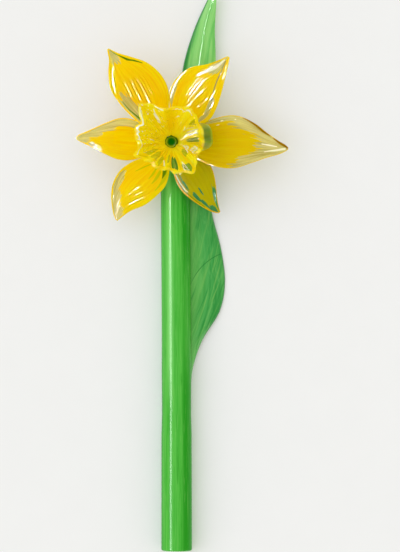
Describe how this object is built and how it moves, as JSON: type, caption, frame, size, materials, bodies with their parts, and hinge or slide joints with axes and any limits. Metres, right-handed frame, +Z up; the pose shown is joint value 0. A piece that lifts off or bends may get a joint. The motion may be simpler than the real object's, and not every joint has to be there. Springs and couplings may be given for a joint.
{
  "type": "glass daffodil flower",
  "caption": "Daffodil of hot-worked coloured glass lying on its back: a green rod stem and long leaf, ribbed yellow petals and a ruffled trumpet with a green eye.",
  "frame": {"origin": "middle of the outline seen from above, on the surface that the flower lies on", "axes": "+Y along the stem from its foot towards the bloom and the leaf's tip, +Z up, the way the bloom faces, +X towards the side the leaf bulges out on"},
  "size_m": [0.0956, 0.2556, 0.0417],
  "materials": {
    "stem_glass": "polished cased glass, streaked green",
    "leaf_glass": "polished cased glass, wispy green",
    "petal_glass": "polished glass over opaque yellow, clear at the tips",
    "trumpet_glass": "polished yellow glass with clear patches"
  },
  "bodies": {
    "root": {"stem": "stem_glass", "leaf": "leaf_glass", "petal_upper_left": "petal_glass", "petal_upper_right": "petal_glass", "petal_right": "petal_glass", "petal_lower_right": "petal_glass", "petal_lower_left": "petal_glass", "petal_left": "petal_glass", "trumpet": "trumpet_glass"}
  },
  "joints": []
}
